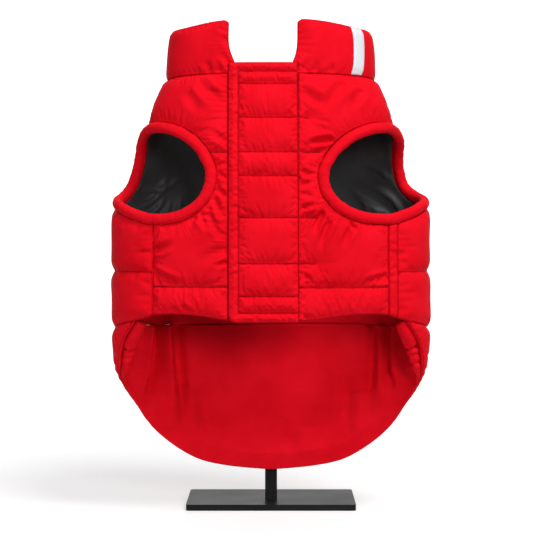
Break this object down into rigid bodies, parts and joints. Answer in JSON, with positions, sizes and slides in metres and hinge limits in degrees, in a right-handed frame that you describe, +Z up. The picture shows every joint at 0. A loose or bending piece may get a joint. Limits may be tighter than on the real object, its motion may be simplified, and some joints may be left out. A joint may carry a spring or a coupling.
{
  "type": "padded dog jacket on metal display stand",
  "caption": "Quilted sleeveless dog jacket, hollow and worn-shaped, with stand-up collar, front flap and rounded tail, on a black metal display stand.",
  "frame": {"origin": "centre of the base plate's underside", "axes": "+Z up, -Y the belly side with the flap, +Y the wearer's back, +X the viewer's right when facing the belly side"},
  "size_m": [0.255, 0.1802, 0.394],
  "materials": {
    "red_cloth": "soft satin nylon",
    "black_lining": "smooth taffeta",
    "pale_tape": "fine woven tape",
    "black_metal": "satin powder coat"
  },
  "bodies": {
    "root": {"front_left": "red_cloth", "front_right": "red_cloth", "placket": "red_cloth", "back": "red_cloth", "tail": "red_cloth", "tail_roll_left": "red_cloth", "tail_roll_right": "red_cloth", "collar": "red_cloth", "armhole_binding_left": "red_cloth", "armhole_binding_right": "red_cloth", "collar_stripe": "pale_tape", "lining_front_left": "black_lining", "lining_front_right": "black_lining", "lining_back": "black_lining", "base_plate": "black_metal", "post": "black_metal", "hanger": "black_metal"}
  },
  "joints": []
}
